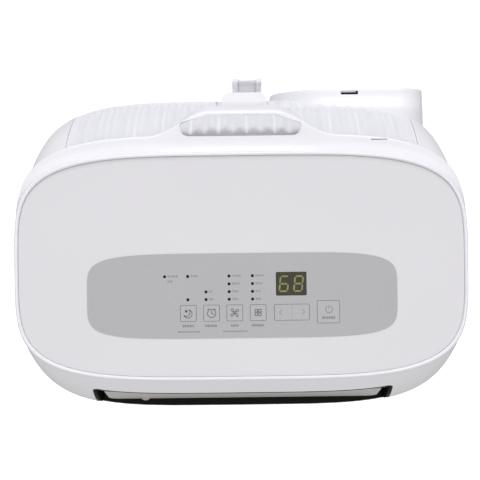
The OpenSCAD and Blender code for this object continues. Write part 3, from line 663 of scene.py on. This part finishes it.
# The tool leaves the block with two rounded upright corners.
corners = prism("tool", [(-60, 100), (-60, 180), (80, 180), (80, 100), (28.4, 100)]
                + arc(20.4, 141.7, 8, 0, 90, 10) + arc(-11, 141.7, 8, 90, 180, 10) + [(-19, 100)],
                "z", 380, 620)
cut(block, corners, prism("tool", [(-8.8, 460), (26.2, 460), (26.2, 510), (-8.8, 510)], "y", 146, 160))
bevel(block, 1.0, 3, 40)
finish_mesh(block, "cabinet_white", "cabinet", 40, ["hook_block"])

# The hook's two cheeks and the thinner web between them, as (y, z).
HOOK_SIDE = [(146.2, 464), (152.7, 464), (176, 472), (176, 500), (171, 500), (169.5, 482), (152.7, 480),
             (152.7, 506), (146.2, 506)]
HOOK_MIDDLE = [(146.2, 466), (152, 466), (175.4, 474), (175.4, 492), (172.8, 492), (170.8, 479), (152, 477),
               (150, 506), (146.2, 506)]
hook_parts = [(HOOK_SIDE, -7.9, -0.9), (HOOK_MIDDLE, -0.9, 18.5), (HOOK_SIDE, 18.5, 25.5)]
for k, (outline, x0, x1) in enumerate(hook_parts):
    part = prism(f"cord_hook_{k}", outline, "x", x0, x1)
    bevel(part, 0.7, 3, 30)
    finish_mesh(part, "hook_grey", "cabinet", 40, ["cord_hook"] if k == 0 else [])

# ---- control panel ---------------------------------------------------------------------------

FASCIA_TOP = HEIGHT - 2.2
OVERLAY_TOP = FASCIA_TOP + 0.5
KEY_ROW = -74.8
# Name, middle's x, width and length of each key; down and up are two halves of one block.
KEYS = [("sleep", -51.8, 15.1, 15.2), ("timer", -29.3, 15.1, 15.2), ("fan", -6.9, 15.1, 15.2),
        ("mode", 15.7, 15.1, 15.2), ("down", 39.85, 16.4, 15.2), ("up", 56.95, 16.4, 15.2),
        ("power", 83.7, 21.4, 21.4)]
PAIR_X, PAIR_W, PAIR_H = 48.4, 33.5, 15.2
LED_X = (-74.3, -52.1, -34.5, -12.1, 10.5)
LED_Y = (-39.1, -46.7, -54.2, -61.6)
LEDS = [(LED_X[0], LED_Y[0]), (LED_X[1], LED_Y[0]), (LED_X[1], LED_Y[3]), (LED_X[2], LED_Y[2]),
        (LED_X[2], LED_Y[3])]
LEDS += [(x, y) for x in LED_X[3:] for y in LED_Y]
# Middle's x and y, width and length of the display's window.
WINDOW = (48.0, -47.2, 29.4, 22.6)


def key_loop(x, w, h, grow=0.0):
    a, b = w / 2 + grow, h / 2 + grow
    return rounded(x - a, KEY_ROW - b, x + a, KEY_ROW + b, 0.7 + grow, 4)


def window_loop(grow=0.0):
    x, y, w, h = WINDOW
    a, b = w / 2 + grow, h / 2 + grow
    return rounded(x - a, y - b, x + a, y + b, 1.2, 5)


holes = [key_loop(x, w, h, 0.3) for name, x, w, h in KEYS if name not in ("down", "up")]
holes.append(key_loop(PAIR_X, PAIR_W, PAIR_H, 0.3))
holes.append(window_loop(0.12))
holes += [arc(x, y, 1.5, 0, 345, 23) for x, y in LEDS]

phi = np.linspace(0, 2 * math.pi, 361)[:-1]
fx, fy = outline_point(np.zeros(360), 4.4, phi)
fascia = plate("control_plate", [list(zip(fx, fy))] + holes, HEIGHT - 6.2, FASCIA_TOP, 0.25)
finish_mesh(fascia, "panel_grey", "cabinet", 12, ["control_fascia"])

# The film's outline is a superellipse, sampled evenly by angle.
c, s = np.cos(phi), np.sin(phi)
r = (np.abs(c) ** (2 / 0.38) + np.abs(s) ** (2 / 0.38)) ** (-0.19)
overlay_loop = [(0.5 + 150 * a, -58 + 41 * b) for a, b in zip(r * c, r * s)]
overlay = plate("control_film", [overlay_loop] + holes, FASCIA_TOP + 0.03, OVERLAY_TOP, 0.12)
finish_mesh(overlay, "overlay_grey", "cabinet", 12, ["control_overlay"])

for name, x, w, h in KEYS:
    loop = key_loop(x, w, h)
    if name == "down":
        loop = rounded(x - w / 2, KEY_ROW - h / 2, PAIR_X - 0.03, KEY_ROW + h / 2, 0.5, 4)
    if name == "up":
        loop = rounded(PAIR_X + 0.03, KEY_ROW - h / 2, x + w / 2, KEY_ROW + h / 2, 0.5, 4)
    cap = plate(f"{name}_cap", [loop], OVERLAY_TOP - 3, OVERLAY_TOP - 0.02, 0.12)
    finish_mesh(cap, "key_grey", f"{name}_key", 12, [f"{name}_key"])

pane = plate("display_pane", [window_loop()], HEIGHT - 5, OVERLAY_TOP - 0.02, 0.12)
finish_mesh(pane, "display_dark", "cabinet", 12, ["display_window"])


def strokes(name, lines, width, z0, z1, material, body):
    """Printed lines: each polyline becomes a thin closed strip with mitred corners."""
    verts, faces = [], []
    for line in lines:
        closed = len(line) > 2 and line[0] == line[-1]
        p = [Vector((a, b)) for a, b in (line[:-1] if closed else line)]
        n = len(p)
        left, right = [], []
        for i in range(n):
            a = p[i - 1] if (closed or i) else p[i]
            b = p[(i + 1) % n] if (closed or i < n - 1) else p[i]
            u = (p[i] - a).normalized() if a != p[i] else (b - p[i]).normalized()
            v = (b - p[i]).normalized() if b != p[i] else u
            t = (u + v).normalized() if (u + v).length > 1e-6 else u
            m = Vector((-t.y, t.x)) * (width / 2 / max(0.5, t.dot(u)))
            left.append(p[i] + m)
            right.append(p[i] - m)
        start = len(verts)
        for q in range(n):
            verts += [(left[q].x, left[q].y, z0), (right[q].x, right[q].y, z0), (right[q].x, right[q].y, z1),
                      (left[q].x, left[q].y, z1)]
        faces += grid_faces(n, 4, closed, True, start)
        if not closed:
            e = start + (n - 1) * 4
            faces += [(start, start + 1, start + 2, start + 3), (e + 3, e + 2, e + 1, e)]
    finish_mesh(mesh_object(name, verts, faces), material, body, 30)


def circle(x, y, r, steps=32):
    pts = arc(x, y, r, 0, 360, steps)
    pts[-1] = pts[0]
    return pts


# Bottom and top of the ink.
PRINT = (OVERLAY_TOP - 0.02, OVERLAY_TOP + 0.03)
ICON_Y = KEY_ROW + 0.2
x = KEYS[0][1]
star = []
for k in range(6):
    a = math.radians(60 * k + 30)
    star.append([(x - 2.1, ICON_Y + 1.9), (x - 2.1 + 1.5 * math.cos(a), ICON_Y + 1.9 + 1.5 * math.sin(a))])
moon = (arc(x - 0.4, ICON_Y - 0.6, 4.0, -165, 75, 26)
        + list(reversed(arc(x - 2.2, ICON_Y + 0.8, 3.8, -115, 28, 18))))
strokes("sleep_icon", [moon + [moon[0]]] + star, 0.85, *PRINT, "print_grey", "sleep_key")
x = KEYS[1][1]
strokes("timer_icon", [circle(x, ICON_Y - 0.4, 4.0),
                       [(x, ICON_Y + 2.0), (x, ICON_Y - 0.4), (x + 2.4, ICON_Y - 1.5)],
                       arc(x, ICON_Y - 0.4, 5.1, 38, 62, 5), arc(x, ICON_Y - 0.4, 5.1, 118, 142, 5)],
        0.85, *PRINT, "print_grey", "timer_key")
x = KEYS[2][1]
petals = []
for k in range(4):
    g = math.radians(90 * k + 25)
    loop = []
    for i in range(17):
        t = 2 * math.pi * i / 16
        a, b = 2.75 + 1.75 * math.cos(t), 0.9 + 1.25 * math.sin(t) * (0.75 + 0.35 * math.cos(t))
        loop.append((x + a * math.cos(g) - b * math.sin(g), ICON_Y + a * math.sin(g) + b * math.cos(g)))
    loop[-1] = loop[0]
    petals.append(loop)
strokes("fan_icon", petals + [circle(x, ICON_Y, 0.8, steps=14)], 0.8, *PRINT, "print_grey", "fan_key")
x = KEYS[3][1]
cells = []
for a in (-1.75, 1.75):
    for b in (-1.75, 1.75):
        cells.append([(x + a + 1.25 * i, ICON_Y + b + 1.25 * j)
                      for i, j in ((-1, -1), (1, -1), (1, 1), (-1, 1), (-1, -1))])
strokes("mode_icon", cells, 0.8, *PRINT, "print_grey", "mode_key")
strokes("down_icon", [[(38.6, ICON_Y + 2.2), (36.4, ICON_Y), (38.6, ICON_Y - 2.2)]], 0.6, *PRINT, "print_light",
        "down_key")
strokes("up_icon", [[(58.6, ICON_Y + 2.2), (60.8, ICON_Y), (58.6, ICON_Y - 2.2)]], 0.6, *PRINT, "print_light",
        "up_key")
x, y = 84.2, KEY_ROW + 2.4
strokes("power_icon", [arc(x, y, 3.3, 122, 418, 30), [(x, y + 4.2), (x, y + 0.6)]], 0.7, *PRINT, "print_light",
        "power_key")



def dashes(x0, y, length, gap=0.55):
    """A row of plain dashes of uneven length that fills length."""
    row, x = [], x0
    while x < x0 + length - 0.8:
        step = min(random.uniform(1.6, 3.0), x0 + length - x)
        row.append([(x, y), (x + step - gap, y)])
        x += step
    return row


# Rows of plain dashes stand where the real panel has words: beside each light and under each key.
beside = (10.6, 7.4, 0.0, 4.6, 4.8, 8.6, 7.6, 6.4, 6.4, 8.4, 7.2, 5.8, 5.8)
marks = []
for (a, b), length in zip(LEDS, beside):
    if length:
        marks += dashes(a + 3.0, b + 0.3, length)
marks += dashes(LED_X[0] + 2.6, LED_Y[0] - 4.6, 5.6)
strokes("light_marks", marks, 1.9, *PRINT, "print_pale", "cabinet")
marks = []
for x, length in ((-51.8, 11.4), (-29.4, 12.0), (-6.8, 7.6), (15.6, 11.6)):
    marks += dashes(x - length / 2, KEY_ROW - 12.2, length)
strokes("key_marks", marks, 2.3, *PRINT, "print_light", "cabinet")
marks = []
for x, length in ((-51.2, 22.0), (-6.6, 24.0)):
    marks += dashes(x - length / 2, KEY_ROW - 17.8, length, 0.4)
strokes("key_notes", marks, 1.5, *PRINT, "print_pale", "cabinet")

# Lenses of the lights: short posts with a domed top.
DOME = [(1.35, HEIGHT - 6), (1.35, OVERLAY_TOP - 0.25), (1.2, OVERLAY_TOP - 0.08), (0.8, OVERLAY_TOP - 0.02),
        (0.3, OVERLAY_TOP)]
SIDES = 20
verts, faces = [], []
for x, y in LEDS:
    start = len(verts)
    for r, z in DOME:
        verts += [(x + r * math.cos(2 * math.pi * i / SIDES), y + r * math.sin(2 * math.pi * i / SIDES), z)
                  for i in range(SIDES)]
    end = len(verts)
    faces += grid_faces(len(DOME), SIDES, False, True, start)
    faces += [tuple(range(start, start + SIDES)), tuple(range(end - 1, end - SIDES - 1, -1))]
finish_mesh(mesh_object("light_lenses", verts, faces), "lens_dark", "cabinet", 40, ["indicator_lenses"])

strokes("power_mark", dashes(77.6, KEY_ROW - 5.6, 13.0, 0.5), 2.3, *PRINT, "print_light", "power_key")

# Two lit digits of slanted segments.
SEGMENTS = {"6": "afgedc", "8": "abcdefg"}
# Middle of each segment from the digit's middle, and whether it lies level.
SPOTS = {"a": (0, 7.2, 1), "b": (3.9, 3.6, 0), "c": (3.9, -3.6, 0), "d": (0, -7.2, 1), "e": (-3.9, -3.6, 0),
         "f": (-3.9, 3.6, 0), "g": (0, 0, 1)}
verts, faces = [], []
for k, digit in enumerate("68"):
    for seg in SEGMENTS[digit]:
        sx, sy, level = SPOTS[seg]
        half, thick = (3.5 if level else 3.2), 0.85
        shape = [(-half, 0), (-half + thick, thick), (half - thick, thick), (half, 0), (half - thick, -thick),
                 (-half + thick, -thick)]
        if not level:
            shape = [(b, a) for a, b in shape]
        start = len(verts)
        for z in (OVERLAY_TOP - 0.03, OVERLAY_TOP + 0.12):
            for a, b in shape:
                verts.append((WINDOW[0] - 7 + 14 * k + sx + a + 0.11 * (sy + b), WINDOW[1] + sy + b, z))
        faces += [tuple(range(start, start + 6)), tuple(range(start + 11, start + 5, -1))]
        faces += [(start + i, start + (i + 1) % 6, start + 6 + (i + 1) % 6, start + 6 + i) for i in range(6)]
finish_mesh(mesh_object("display_segments", verts, faces), "digit_green", "cabinet", 30, ["display_digits"])

# ---- floor ------------------------------------------------------------------------------

bm = bmesh.new()
bmesh.ops.create_grid(bm, x_segments=8, y_segments=8, size=25)
me = bpy.data.meshes.new("floor")
bm.to_mesh(me)
bm.free()
floor = bpy.data.objects.new("floor", me)
scene.collection.objects.link(floor)
m, nt, bsdf = new_material("floor")
r = ramp(nt, noise(nt, 1.2, 3).outputs["Fac"], [(0.3, (0.93, 0.93, 0.935)), (0.7, (0.96, 0.96, 0.96))])
nt.links.new(r.outputs["Color"], bsdf.inputs["Base Color"])
bsdf.inputs["Roughness"].default_value = 0.8
bsdf.inputs["Emission Color"].default_value = (1, 1, 1, 1)
bsdf.inputs["Emission Strength"].default_value = 0.75
me.materials.append(m)
floor.visible_diffuse = False
floor.visible_glossy = False
